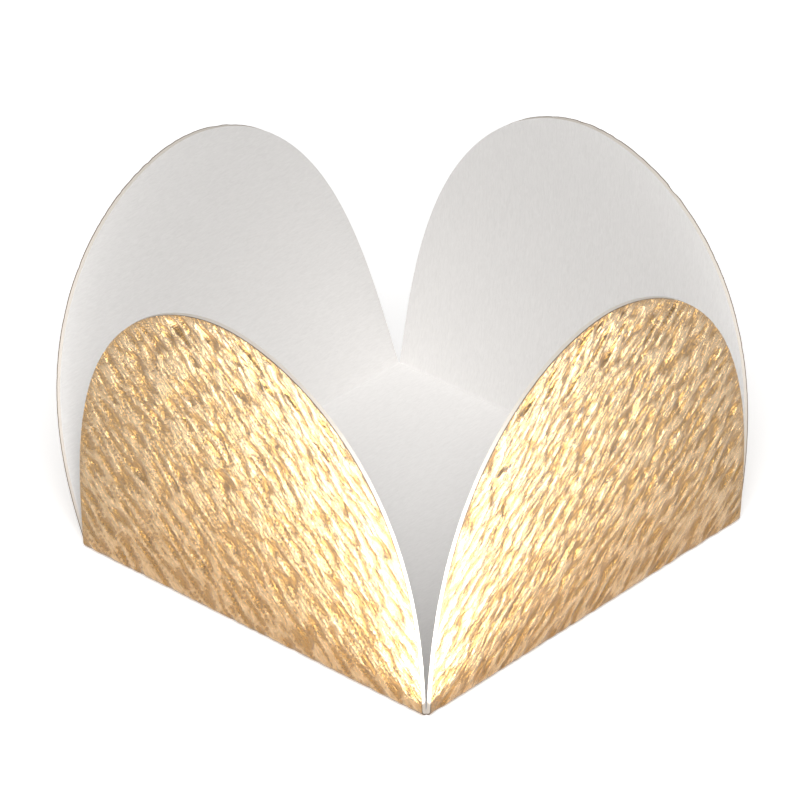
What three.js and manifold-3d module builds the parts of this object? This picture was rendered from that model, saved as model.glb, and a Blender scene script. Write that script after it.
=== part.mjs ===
// A mini paper candy cup: one die-cut piece of foil-faced card, folded up into a small open cup.
// A square base carries four round-arched petals, one along each side. Nothing is glued: each
// petal is only creased along its full width, so each stands at an angle of its own, and the
// two back ones spring out at the crease and curl back upright towards their tips.
// Millimetres, +Z up. The origin is the middle of the base's underside.
import * as THREE from 'three';
import { mergeVertices } from 'three/addons/utils/BufferGeometryUtils.js';
import Module from 'manifold-3d';

// The sheet and its crease
const baseSide = 35; // the square base, between the virtual corners of opposite creases
const cardThickness = 0.4;
const creaseInnerRadius = 0.06; // the small round on the inside of each crease
const cornerGap = 0.45; // how far a petal's side stops short of the base's corner

// The outline of a petal on the flat blank: a raised half ellipse
const petalHeight = 26.2; // from the crease's outer corner to the tip, along the card
const shoulderPower = 1.9; // 2 is a true ellipse, more is squarer at the sides
const crownPower = 2.6; // 2 is a true ellipse, more keeps the petal wide for longer
const tipFlat = 0.5; // the short chord that closes the arch at its tip

// How each petal stands, in degrees outward from upright, at its crease and at its tip.
// turn is the side of the base that it stands on, counted in quarter turns from +X.
const petals = [
  { turn: 0, leanAtCrease: 12.4, leanAtTip: 0.8 }, // back right
  { turn: 1, leanAtCrease: 20.7, leanAtTip: 1.4 }, // back left
  { turn: 2, leanAtCrease: 0.8, leanAtTip: 6.2 }, // front left
  { turn: 3, leanAtCrease: 5.0, leanAtTip: 3.7 }, // front right
];

// How finely the curves are stepped
const creaseSteps = 6;
const archSteps = 34;

const creaseOuterRadius = creaseInnerRadius + cardThickness;
const flatHalf = baseSide / 2 - creaseOuterRadius; // where the flat base ends and a crease starts
const tongue = cardThickness * 2; // how far a petal's sheet runs into the base, to join it

// Half the petal's width at a height along the card, and the angle that steps evenly round its arch
const sideHalf = baseSide / 2 - cornerGap;
const archHalfWidth = (angle) => sideHalf * Math.cos(angle) ** (2 / shoulderPower);
const archHeight = (angle) => petalHeight * Math.sin(angle) ** (2 / crownPower);
const archAngle = (height) => Math.asin((height / petalHeight) ** (crownPower / 2));
const lastAngle = Math.acos((tipFlat / 2 / sideHalf) ** (shoulderPower / 2));

// The rows of a petal's sheet, from inside the base round the crease and up to the tip.
// out and up place the sheet's outer face, and lean is its angle outward from upright there.
function petalRows(leanAtCrease, leanAtTip) {
  const flat = Math.PI / 2;
  const startLean = THREE.MathUtils.degToRad(leanAtCrease);
  const endLean = THREE.MathUtils.degToRad(leanAtTip);
  const rows = [{ out: flatHalf - tongue, up: 0, lean: flat, halfWidth: sideHalf }];
  for (let step = 0; step <= creaseSteps; step += 1) {
    const lean = flat + ((startLean - flat) * step) / creaseSteps;
    const out = flatHalf + creaseOuterRadius * Math.cos(lean);
    const up = creaseOuterRadius * (1 - Math.sin(lean));
    rows.push({ out, up, lean, halfWidth: sideHalf });
  }
  // The arch is measured from the crease's virtual corner, so it starts part of the way up.
  const creaseEnd = creaseOuterRadius * Math.tan((flat - startLean) / 2);
  const firstAngle = archAngle(creaseEnd);
  let { out, up, lean } = rows[rows.length - 1];
  let height = creaseEnd;
  for (let step = 1; step <= archSteps; step += 1) {
    const angle = firstAngle + ((lastAngle - firstAngle) * step) / archSteps;
    const next = archHeight(angle);
    const share = (next - creaseEnd) / (petalHeight - creaseEnd);
    const nextLean = startLean + (endLean - startLean) * share;
    out += (next - height) * Math.sin((lean + nextLean) / 2);
    up += (next - height) * Math.cos((lean + nextLean) / 2);
    rows.push({ out, up, lean: nextLean, halfWidth: archHalfWidth(angle) });
    lean = nextLean;
    height = next;
  }
  return rows;
}

// A box with one layer per row, whose layers are moved onto the rows of the sheet.
function petalGeometry({ turn, leanAtCrease, leanAtTip }) {
  const rows = petalRows(leanAtCrease, leanAtTip);
  const layers = rows.length - 1;
  const geometry = new THREE.BoxGeometry(2, layers, 1, 1, layers, 1);
  const position = geometry.attributes.position;
  for (let i = 0; i < position.count; i += 1) {
    const row = rows[Math.round(position.getY(i) + layers / 2)];
    const depth = position.getZ(i) > 0 ? 0 : cardThickness;
    const out = row.out - depth * Math.cos(row.lean);
    const up = row.up + depth * Math.sin(row.lean);
    position.setXYZ(i, out, position.getX(i) * row.halfWidth, up);
  }
  return geometry.rotateZ((turn * Math.PI) / 2);
}

function baseGeometry() {
  const side = flatHalf * 2;
  return new THREE.BoxGeometry(side, side, cardThickness).translate(0, 0, cardThickness / 2);
}

const wasm = await Module();
wasm.setup();

function toSolid(geometry) {
  geometry.deleteAttribute('normal');
  geometry.deleteAttribute('uv');
  const merged = mergeVertices(geometry, 1e-5);
  const mesh = new wasm.Mesh({
    numProp: 3,
    vertProperties: new Float32Array(merged.attributes.position.array),
    triVerts: new Uint32Array(merged.index.array),
  });
  return new wasm.Manifold(mesh);
}

function toGeometry(solid) {
  const mesh = solid.getMesh();
  const geometry = new THREE.BufferGeometry();
  geometry.setAttribute('position', new THREE.BufferAttribute(mesh.vertProperties, 3));
  geometry.setIndex(new THREE.BufferAttribute(mesh.triVerts, 1));
  geometry.computeVertexNormals();
  return geometry;
}

// The whole folded card, joined into one solid because it is one sheet
let card = toSolid(baseGeometry());
for (const petal of petals) {
  card = card.add(toSolid(petalGeometry(petal)));
}

const goldFoil = new THREE.MeshStandardMaterial({ color: 0xc9a67c, roughness: 0.35, metalness: 0.8 });

const foldedCardCup = new THREE.Mesh(toGeometry(card), goldFoil);
foldedCardCup.name = 'folded_card_cup';

const candyCup = new THREE.Group();
candyCup.add(foldedCardCup);

export default candyCup;
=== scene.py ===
# %% [markdown]
# # A mini paper candy cup
#
# The real cup is one piece of thin card, faced on one side with pale gold foil. A die cuts it to a
# square with four round-arched petals, and the petals are folded up at creases. Nothing is glued,
# so each petal stands at an angle of its own. This lesson models the sheet as it is made: the
# flat outline first, then the folds, then the thickness, and last the embossing of the foil.

# %% Load the measured model
import math

import bmesh
import bpy
import numpy as np
from mathutils import Matrix, Vector, noise


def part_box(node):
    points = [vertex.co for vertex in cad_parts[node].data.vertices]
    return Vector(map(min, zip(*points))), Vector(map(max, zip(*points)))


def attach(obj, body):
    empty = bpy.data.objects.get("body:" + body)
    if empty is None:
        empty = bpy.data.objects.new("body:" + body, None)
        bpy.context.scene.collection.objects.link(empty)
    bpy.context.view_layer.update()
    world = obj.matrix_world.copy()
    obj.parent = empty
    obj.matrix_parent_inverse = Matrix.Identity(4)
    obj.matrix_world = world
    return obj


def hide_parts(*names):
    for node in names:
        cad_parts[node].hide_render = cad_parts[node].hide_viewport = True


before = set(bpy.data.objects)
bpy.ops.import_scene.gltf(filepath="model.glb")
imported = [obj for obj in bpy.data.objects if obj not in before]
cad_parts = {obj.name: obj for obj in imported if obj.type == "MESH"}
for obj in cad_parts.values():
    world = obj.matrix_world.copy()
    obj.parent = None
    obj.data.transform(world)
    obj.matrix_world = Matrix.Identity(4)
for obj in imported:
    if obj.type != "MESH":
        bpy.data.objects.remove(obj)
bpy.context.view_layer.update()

low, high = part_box("folded_card_cup")
print("the measured cup, in millimetres:", [round((b - a) * 1000, 1) for a, b in zip(low, high)])

# %% [markdown]
# ## The camera
#
# The camera comes first, because every later choice is judged through it. A small thing is
# photographed with a long lens from close by. Where the camera stands is given as an angle round
# the cup and a height above it, which is how a photographer would set up a tripod.

# %% Set up the camera
MM = 0.001
TURN = math.radians(-46.5)
HEIGHT_ANGLE = math.radians(31.0)
DISTANCE = 402 * MM
PIXELS_PER_MM = 13.65
IMAGE_WIDTH = 800
LOOK_AT = Vector((0, 0, 12 * MM))
LOOK_AT_PIXEL = (408.6, 393.8)
TILT = math.radians(1.5)


def camera_axes(turn, height_angle, tilt):
    """The directions to the right of, above and behind a camera that looks at the cup."""
    right = Vector((math.cos(turn), math.sin(turn), 0))
    back = Vector((
        math.sin(turn) * math.cos(height_angle),
        -math.cos(turn) * math.cos(height_angle),
        math.sin(height_angle),
    ))
    up = back.cross(right)
    tilted_right = right * math.cos(tilt) - up * math.sin(tilt)
    tilted_up = right * math.sin(tilt) + up * math.cos(tilt)
    return tilted_right, tilted_up, back


right, up, back = camera_axes(TURN, HEIGHT_ANGLE, TILT)
aim = LOOK_AT - right * (LOOK_AT_PIXEL[0] - IMAGE_WIDTH / 2) / PIXELS_PER_MM * MM
aim = aim - up * (IMAGE_WIDTH / 2 - LOOK_AT_PIXEL[1]) / PIXELS_PER_MM * MM
facing = Matrix((right, up, back)).transposed().to_euler()

bpy.ops.object.camera_add(location=aim + back * DISTANCE, rotation=facing)
camera = bpy.context.object
camera.name = "camera"
camera.data.sensor_width = 36
camera.data.lens = PIXELS_PER_MM / MM * DISTANCE / IMAGE_WIDTH * camera.data.sensor_width
camera.data.clip_start = 0.01
bpy.context.scene.camera = camera
print("lens in millimetres:", round(camera.data.lens))

# %% [markdown]
# ## The sizes of the sheet
#
# The flat outline of a petal is a raised half ellipse. A true half ellipse would be too pointed
# at its shoulders, so its two powers are changed a little: a power of 2 is a true ellipse, and a
# larger one is fuller. The folded petal then follows a section: round the crease and up, with a
# lean that changes slowly from the crease to the tip, because sprung card is never quite flat.

# %% Name the sizes
BASE_SIDE = 35 * MM
CARD = 0.4 * MM
CREASE_INNER = 0.06 * MM
PETAL_HEIGHT = 26.2 * MM
SHOULDER_POWER = 1.9
CROWN_POWER = 2.6

# Quarter turns from +X, then degrees outward from upright at the crease and at the tip
PETALS = {
    "back_right": (0, 12.4, 0.8),
    "back_left": (1, 20.7, 1.4),
    "front_left": (2, 0.8, 6.2),
    "front_right": (3, 5.0, 3.7),
}

CREASE_OUTER = CREASE_INNER + CARD
FLAT_HALF = BASE_SIDE / 2 - CREASE_OUTER
CREASE_STEPS = 5
ARCH_STEPS = 125
OUTLINE_SAMPLES = 4000


def arch_outline(steps, start):
    """Heights and half widths up a petal's edge, at even steps along that edge."""
    angle = np.linspace(0, math.pi / 2, OUTLINE_SAMPLES)
    heights = PETAL_HEIGHT * np.sin(angle) ** (2 / CROWN_POWER)
    widths = FLAT_HALF * np.clip(np.cos(angle), 0, 1) ** (2 / SHOULDER_POWER)
    widths[-1] = 0
    length = np.concatenate([[0], np.cumsum(np.hypot(np.diff(heights), np.diff(widths)))])
    first = np.interp(start, heights, length)
    even = np.linspace(first, length[-1], steps + 1)
    return np.interp(even, length, heights), np.interp(even, length, widths)


def petal_rows(lean_at_crease, lean_at_tip):
    """Rows of (out, up, lean, half width, distance along the blank), from the base to the tip."""
    start_lean = math.radians(lean_at_crease)
    end_lean = math.radians(lean_at_tip)
    rows = []
    for lean in np.linspace(math.pi / 2, start_lean, CREASE_STEPS + 1):
        out = FLAT_HALF + CREASE_OUTER * math.cos(lean)
        up = CREASE_OUTER * (1 - math.sin(lean))
        along = FLAT_HALF + CREASE_OUTER * (math.pi / 2 - lean)
        rows.append((out, up, lean, FLAT_HALF, along))
    crease_end = CREASE_OUTER * math.tan((math.pi / 2 - start_lean) / 2)
    heights, widths = arch_outline(ARCH_STEPS, crease_end)
    out, up, lean, _, along = rows[-1]
    for step in range(1, ARCH_STEPS + 1):
        rise = heights[step] - heights[step - 1]
        share = (heights[step] - crease_end) / (PETAL_HEIGHT - crease_end)
        next_lean = start_lean + (end_lean - start_lean) * share
        middle = (lean + next_lean) / 2
        out += rise * math.sin(middle)
        up += rise * math.cos(middle)
        along += rise
        lean = next_lean
        rows.append((out, up, lean, widths[step], along))
    return np.array(rows)


print("rows up each petal:", len(petal_rows(5, 4)))

# %% [markdown]
# ## The two faces of the sheet
#
# Each face of a petal starts as a flat grid. Its rows are then moved onto the section and drawn in
# to the arch. The foil face gets a fine grid, because its wrinkles will be real shape; the white
# face is smooth and makes do with a coarse one. Where each vertex lies on the flat blank is kept
# as a UV map, since foil is embossed while it is still a flat web.

# %% Add the faces of the petals
FOIL_COLUMNS = 140
WHITE_COLUMNS = 24
BLANK_SPAN = 100 * MM


def add_face(name, turn, leans, columns, depth):
    """One face of a petal, at a depth under the foil, with its place on the blank as UV."""
    rows = petal_rows(*leans)
    steps = len(rows) - 1
    bpy.ops.object.select_all(action="DESELECT")
    bpy.ops.mesh.primitive_grid_add(x_subdivisions=columns, y_subdivisions=steps, size=2)
    face = bpy.context.object
    face.name = name
    mesh = face.data
    grid = np.empty(len(mesh.vertices) * 3)
    mesh.vertices.foreach_get("co", grid)
    across, upward, _ = grid.reshape(-1, 3).T
    row = rows[np.rint((upward + 1) / 2 * steps).astype(int)]
    out = row[:, 0] - depth * np.cos(row[:, 2])
    height = row[:, 1] + depth * np.sin(row[:, 2])
    side = across * row[:, 3]
    angle = turn * math.pi / 2
    cos, sin = math.cos(angle), math.sin(angle)
    placed = np.stack([out * cos - side * sin, out * sin + side * cos, height], axis=1)
    mesh.vertices.foreach_set("co", placed.ravel())
    blank = np.stack([row[:, 4] * cos - side * sin, row[:, 4] * sin + side * cos], axis=1)
    corners = np.empty(len(mesh.loops), dtype=int)
    mesh.loops.foreach_get("vertex_index", corners)
    uv = mesh.uv_layers.active
    uv.name = "blank"
    uv.data.foreach_set("uv", (blank[corners] / BLANK_SPAN + 0.5).ravel())
    mark = mesh.attributes.new("depth", "FLOAT", "POINT")
    mark.data.foreach_set("value", np.full(len(mesh.vertices), depth / CARD))
    mesh.update()
    return face


faces = []
for petal, (turn, *leans) in PETALS.items():
    faces.append(add_face("foil_" + petal, turn, leans, FOIL_COLUMNS, 0))
    faces.append(add_face("white_" + petal, turn, leans, WHITE_COLUMNS, CARD))
print("faces so far:", sum(len(face.data.polygons) for face in faces))

# %% [markdown]
# ## One closed sheet
#
# The eight faces are joined into one mesh and welded at the corners of the base. That leaves two
# square holes, one in each face of the sheet, and each is filled with a single flat face. The two
# skins then have one open edge each, which runs round all four arches, and a bridge between the
# two makes the cut edge of the card. That is quicker and cleaner than giving a thickness to the
# fine grid, which would make the plain white face as heavy as the foil.

# %% Join, fill and bridge
WELD = 0.001 * MM

bpy.ops.object.select_all(action="DESELECT")
for face in faces:
    face.select_set(True)
bpy.context.view_layer.objects.active = faces[0]
bpy.ops.object.join()
cup = bpy.context.object
cup.name = "candy_cup"
cup.data.name = "candy_cup"

bpy.ops.object.mode_set(mode="EDIT")
bpy.ops.mesh.select_mode(type="VERT")
bpy.ops.mesh.select_all(action="SELECT")
bpy.ops.mesh.remove_doubles(threshold=WELD)
bpy.ops.mesh.select_mode(type="EDGE")


def select_open_edges(height=None):
    """Select the edges that have one face only, at one height if it is given."""
    bpy.ops.mesh.select_all(action="DESELECT")
    shape = bmesh.from_edit_mesh(cup.data)
    chosen = 0
    for edge in shape.edges:
        if len(edge.link_faces) != 1:
            continue
        if height is not None and max(abs(v.co.z - height) for v in edge.verts) > WELD:
            continue
        edge.select_set(True)
        chosen += 1
    bmesh.update_edit_mesh(cup.data)
    return chosen


for height in (0, CARD):
    print("edges round the square:", select_open_edges(height))
    bpy.ops.mesh.edge_face_add()
print("edges of the two skins:", select_open_edges())
bpy.ops.mesh.bridge_edge_loops()
bpy.ops.mesh.select_all(action="SELECT")
bpy.ops.mesh.normals_make_consistent(inside=False)
bpy.ops.object.mode_set(mode="OBJECT")

shape = bmesh.new()
shape.from_mesh(cup.data)
print("open edges left:", sum(1 for edge in shape.edges if len(edge.link_faces) != 2))
print("volume in cubic millimetres:", round(shape.calc_volume() * 1e9))
shape.free()

# %% [markdown]
# ## The embossing
#
# The web of foil is pressed between rollers before the blanks are cut, so its wrinkles run one way
# over the whole sheet, along the blank's diagonal, and turn up at 45 degrees on every petal. They
# are short and branching, about four times as long as they are wide. Layers of noise that is
# stretched along the diagonal give that, and folding the noise over where it crosses zero sharpens
# its crests into ridges. The larger wrinkles are moved into the mesh here, so that they catch the
# light as real ones do. They fade out just before the cut rim and at the crease, where the die and
# the crease rule press the foil flat again.

# %% Emboss the foil face
WRINKLE_LAYERS = (
    # length and width of a cell of noise, then its height
    (2.1 * MM, 0.50 * MM, 0.34 * MM),
    (0.9 * MM, 0.34 * MM, 0.10 * MM),
)
LAYER_SHIFT = 7.3
RIDGE_TOP = 0.25
SHARPNESS = 0.5
RIM_FADE = 0.07
RELIEF_SPAN = 0.2 * MM
DIAGONAL = math.radians(135)


def wrinkle_height(x, y):
    """How far the foil stands out at a place on the blank."""
    along = x * math.cos(DIAGONAL) + y * math.sin(DIAGONAL)
    across = y * math.cos(DIAGONAL) - x * math.sin(DIAGONAL)
    total = 0
    for layer, (length, width, height) in enumerate(WRINKLE_LAYERS):
        wave = noise.noise(Vector((along / length, across / width, LAYER_SHIFT * layer)))
        ridge = RIDGE_TOP - abs(wave)
        total += height * (wave + (ridge - wave) * SHARPNESS)
    return total


def rim_nearness(blank):
    """0 on the cut rim of a petal and growing inwards, about 0.1 for each millimetre."""
    along = np.abs(blank).max(axis=1) - BASE_SIDE / 2
    side = np.abs(blank).min(axis=1)
    across_share = np.clip(side / FLAT_HALF, 0, 1) ** SHOULDER_POWER
    return 1 - across_share - np.clip(along / PETAL_HEIGHT, 0, 1) ** CROWN_POWER


mesh = cup.data
count = len(mesh.vertices)
depths = np.empty(count)
mesh.attributes["depth"].data.foreach_get("value", depths)
normals = np.empty(count * 3)
mesh.vertices.foreach_get("normal", normals)
places = np.empty(count * 3)
mesh.vertices.foreach_get("co", places)
places = places.reshape(-1, 3)
corners = np.empty(len(mesh.loops), dtype=int)
mesh.loops.foreach_get("vertex_index", corners)
uvs = np.empty(len(mesh.loops) * 2)
mesh.uv_layers["blank"].data.foreach_get("uv", uvs)
blank = np.zeros((count, 2))
blank[corners] = (uvs.reshape(-1, 2) - 0.5) * BLANK_SPAN
fade = np.clip(places[:, 2] / CREASE_OUTER, 0, 1) * np.clip(rim_nearness(blank) / RIM_FADE, 0, 1)
heights = np.array([wrinkle_height(x, y) for x, y in blank]) * fade * (depths < 0.5)
places += normals.reshape(-1, 3) * heights[:, None]
mesh.vertices.foreach_set("co", places.ravel())
# The heights are also kept as an attribute, which paints shade into the foil's colour in the
# valleys and a highlight on the crests
relief = mesh.attributes.new("relief", "FLOAT", "POINT")
relief.data.foreach_set("value", heights / RELIEF_SPAN)
mesh.update()
print("wrinkles from", round(heights.min() / MM, 3), "to", round(heights.max() / MM, 3), "mm")

# %% [markdown]
# ## The finishes
#
# Three finishes meet on this one sheet: the foil, the bare white card inside, and the raw cut
# edge, which shows the thickness of the card as a cream line under the foil. The foil is a metal
# under a softer coat of clear lacquer. The coat adds its white gloss to the gold, so bright places
# turn cream and not yellow. The gold itself is painted darker in the wrinkle valleys and paler on
# the crests, a painted shade and a painted highlight of the wrinkles. Finer wrinkles than the mesh
# holds come from a bump along the diagonal.

# %% Write the helpers for the finishes
def new_material(name):
    material = bpy.data.materials.new(name)
    material.use_nodes = True
    tree = material.node_tree
    return material, tree, tree.nodes["Principled BSDF"]


def add_node(tree, kind, **values):
    node = tree.nodes.new("ShaderNode" + kind)
    for socket, value in values.items():
        node.inputs[socket].default_value = value
    return node


def add_attribute(tree, name):
    node = add_node(tree, "Attribute")
    node.attribute_name = name
    return node


def add_pattern(tree, length, width, turn, **values):
    """Noise on the flat blank, in cells of a given length and width that lie at an angle."""
    place = add_node(tree, "UVMap")
    place.uv_map = "blank"
    cell = (length / BLANK_SPAN, width / BLANK_SPAN, 1)
    mapping = add_node(tree, "Mapping", Rotation=(0, 0, turn), Scale=cell)
    mapping.vector_type = "TEXTURE"
    pattern = add_node(tree, "TexNoise", Scale=1, **values)
    tree.links.new(place.outputs["UV"], mapping.inputs["Vector"])
    tree.links.new(mapping.outputs["Vector"], pattern.inputs["Vector"])
    return pattern


def add_tone(tree, shader, source, *stops):
    """Colour the surface by a value, between two stops of (position, colour)."""
    tone = add_node(tree, "ValToRGB")
    for element, (position, color) in zip(tone.color_ramp.elements, stops):
        element.position = position
        element.color = (*color, 1)
    tree.links.new(source, tone.inputs["Fac"])
    tree.links.new(tone.outputs["Color"], shader.inputs["Base Color"])


def add_bump(tree, shader, source, strength, distance):
    """Let the light see a relief that the mesh doesn't have."""
    bump = add_node(tree, "Bump", Strength=strength, Distance=distance)
    tree.links.new(source, bump.inputs["Height"])
    tree.links.new(bump.outputs["Normal"], shader.inputs["Normal"])


# %% Make the foil
FINE_LENGTH = 0.9 * MM
FINE_WIDTH = 0.3 * MM
FINE_DEPTH = 0.2 * MM
FINE_SHARE = 0.6
# Painted light: the foil's colour runs from painted shade in the wrinkle valleys to painted
# highlight on the crests
FOIL_VALLEY_PAINTED_SHADE = (0.28, (0.53, 0.29, 0.072))
FOIL_CREST_PAINTED_HIGHLIGHT = (0.72, (0.97, 0.69, 0.385))

foil, tree, shader = new_material("pale_gold_foil")
shader.inputs["Metallic"].default_value = 1
shader.inputs["Roughness"].default_value = 0.22
shader.inputs["Coat Weight"].default_value = 1.0
shader.inputs["Coat Roughness"].default_value = 0.36
shader.inputs["Coat IOR"].default_value = 1.8
fine = add_pattern(tree, FINE_LENGTH, FINE_WIDTH, DIAGONAL, Detail=3, Distortion=0.4)
relief = add_attribute(tree, "relief")
# The relief height and the fine noise, which also drives the bump, set how dark or pale the gold is
# painted, as painted shade and painted highlight
painted_relief_light = add_node(tree, "Math")
painted_relief_light.operation = "MULTIPLY_ADD"
painted_relief_light.inputs[1].default_value = FINE_SHARE
tree.links.new(fine.outputs["Fac"], painted_relief_light.inputs[0])
tree.links.new(relief.outputs["Fac"], painted_relief_light.inputs[2])
add_tone(tree, shader, painted_relief_light.outputs["Value"], FOIL_VALLEY_PAINTED_SHADE, FOIL_CREST_PAINTED_HIGHLIGHT)
add_bump(tree, shader, fine.outputs["Fac"], 1.0, FINE_DEPTH)
print("nodes of the foil:", len(tree.nodes))

# %% Make the white card
FIBRE_LENGTH = 0.7 * MM
FIBRE_WIDTH = 0.16 * MM
FIBRE_DEPTH = 0.02 * MM
CARD_SHADED = (0.3, (0.785, 0.77, 0.755))
CARD_PALE = (0.7, (0.845, 0.83, 0.815))

white, tree, shader = new_material("white_card")
shader.inputs["Roughness"].default_value = 0.7
fibre = add_pattern(tree, FIBRE_LENGTH, FIBRE_WIDTH, 0, Detail=4, Distortion=1.2)
add_tone(tree, shader, fibre.outputs["Fac"], CARD_SHADED, CARD_PALE)
add_bump(tree, shader, fibre.outputs["Fac"], 0.5, FIBRE_DEPTH)
print("nodes of the white card:", len(tree.nodes))

# %% Make the cut edge
# The depth is 0 at the foil and 1 at the white face, so the line under the foil is the dark one, a
# painted shade along the edge of the foil.
EDGE_PAINTED_SHADE_LINE = (0.18, (0.19, 0.14, 0.10))
EDGE_CREAM = (0.27, (0.70, 0.645, 0.58))

edge, tree, shader = new_material("cut_edge")
shader.inputs["Roughness"].default_value = 0.8
mark = add_attribute(tree, "depth")
add_tone(tree, shader, mark.outputs["Fac"], EDGE_PAINTED_SHADE_LINE, EDGE_CREAM)
print("nodes of the cut edge:", len(tree.nodes))

# %% Put the finishes on the sheet
WHITE_SLOT = 1
EDGE_SLOT = 2
SMOOTH_ANGLE = math.radians(50)

for material in (foil, white, edge):
    mesh.materials.append(material)
finish = np.zeros(len(mesh.polygons), dtype=int)
for polygon in mesh.polygons:
    under = {depths[i] > 0.5 for i in polygon.vertices}
    if len(under) == 2:
        finish[polygon.index] = EDGE_SLOT
    elif True in under:
        finish[polygon.index] = WHITE_SLOT
mesh.polygons.foreach_set("material_index", finish)
mesh.update()

bpy.ops.object.select_all(action="DESELECT")
cup.select_set(True)
bpy.context.view_layer.objects.active = cup
bpy.ops.object.shade_smooth_by_angle(angle=SMOOTH_ANGLE)
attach(cup, "root")
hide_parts("folded_card_cup")
print("foil, white and edge faces:", np.bincount(finish).tolist())

# %% [markdown]
# ## The floor and the light
#
# Foil shows its surroundings more than its own colour, so the floor and the lamps are part of the
# finish. The floor is plain and pale, and it reaches past the picture on all sides. It glows a
# little for the camera alone, which makes the background white and adds no light to the cup.

# %% Lay the floor
FLOOR_SIZE = 6
FLOOR_DROP = 0.02 * MM
FLOOR_GLOW = 0.4

bpy.ops.mesh.primitive_plane_add(size=FLOOR_SIZE, location=(0, 0, -FLOOR_DROP))
floor = bpy.context.object
floor.name = "floor"
paper, tree, shader = new_material("floor_white")
shader.inputs["Base Color"].default_value = (0.9, 0.9, 0.9, 1)
shader.inputs["Roughness"].default_value = 1
shader.inputs["Specular IOR Level"].default_value = 0
shader.inputs["Emission Color"].default_value = (1, 1, 1, 1)
rays = add_node(tree, "LightPath")
glow = add_node(tree, "Math")
glow.operation = "MULTIPLY"
glow.inputs[1].default_value = FLOOR_GLOW
tree.links.new(rays.outputs["Is Camera Ray"], glow.inputs[0])
tree.links.new(glow.outputs["Value"], shader.inputs["Emission Strength"])
floor.data.materials.append(paper)
print("metres of floor each way:", FLOOR_SIZE)

# %% [markdown]
# A large softbox high on the left lights the whole cup. The two front petals stand upright, so from
# the camera they mirror the floor beside the cup. Two low softboxes lie there and face up, each
# starting at the front corner and running back and outwards at 45 degrees. The wrinkles near the
# corner then mirror light in almost every direction and look smooth and cream, and those at the
# outer ends mirror it only here and there and look deep gold.

# %% Set the lamps
TOP_LAMP = Vector((-0.55, -0.5, 0.85))
TOP_SIZE = (0.6, 0.6)
TOP_POWER = 9.6
LOW_LAMP = Vector((-60, -17.7, 1)) * MM
LOW_TURN = math.radians(135)
LOW_SIZE = (80 * MM, 60 * MM)
LOW_POWER = 0.108
WORLD_STRENGTH = 0.32


def add_softbox(name, place, rotation, size, power):
    """A rectangular lamp, which faces down before it is turned."""
    bpy.ops.object.light_add(type="AREA", location=place, rotation=rotation)
    lamp = bpy.context.object
    lamp.name = name
    lamp.data.shape = "RECTANGLE"
    lamp.data.size, lamp.data.size_y = size
    lamp.data.energy = power
    lamp.visible_camera = False


aimed = (TOP_LAMP - LOOK_AT).to_track_quat("Z", "Y").to_euler()
add_softbox("top_lamp", TOP_LAMP, aimed, TOP_SIZE, TOP_POWER)
add_softbox("left_lamp", LOW_LAMP, (math.pi, 0, LOW_TURN), LOW_SIZE, LOW_POWER)
mirrored = (math.pi, 0, math.pi / 2 - LOW_TURN)
add_softbox("right_lamp", LOW_LAMP.yxz, mirrored, LOW_SIZE, LOW_POWER)

world = bpy.data.worlds.new("studio")
bpy.context.scene.world = world
world.use_nodes = True
background = world.node_tree.nodes["Background"]
background.inputs["Color"].default_value = (1, 1, 1, 1)
background.inputs["Strength"].default_value = WORLD_STRENGTH
bpy.context.scene.view_settings.view_transform = "Standard"
print("watts of the lamps:", TOP_POWER, LOW_POWER, LOW_POWER)
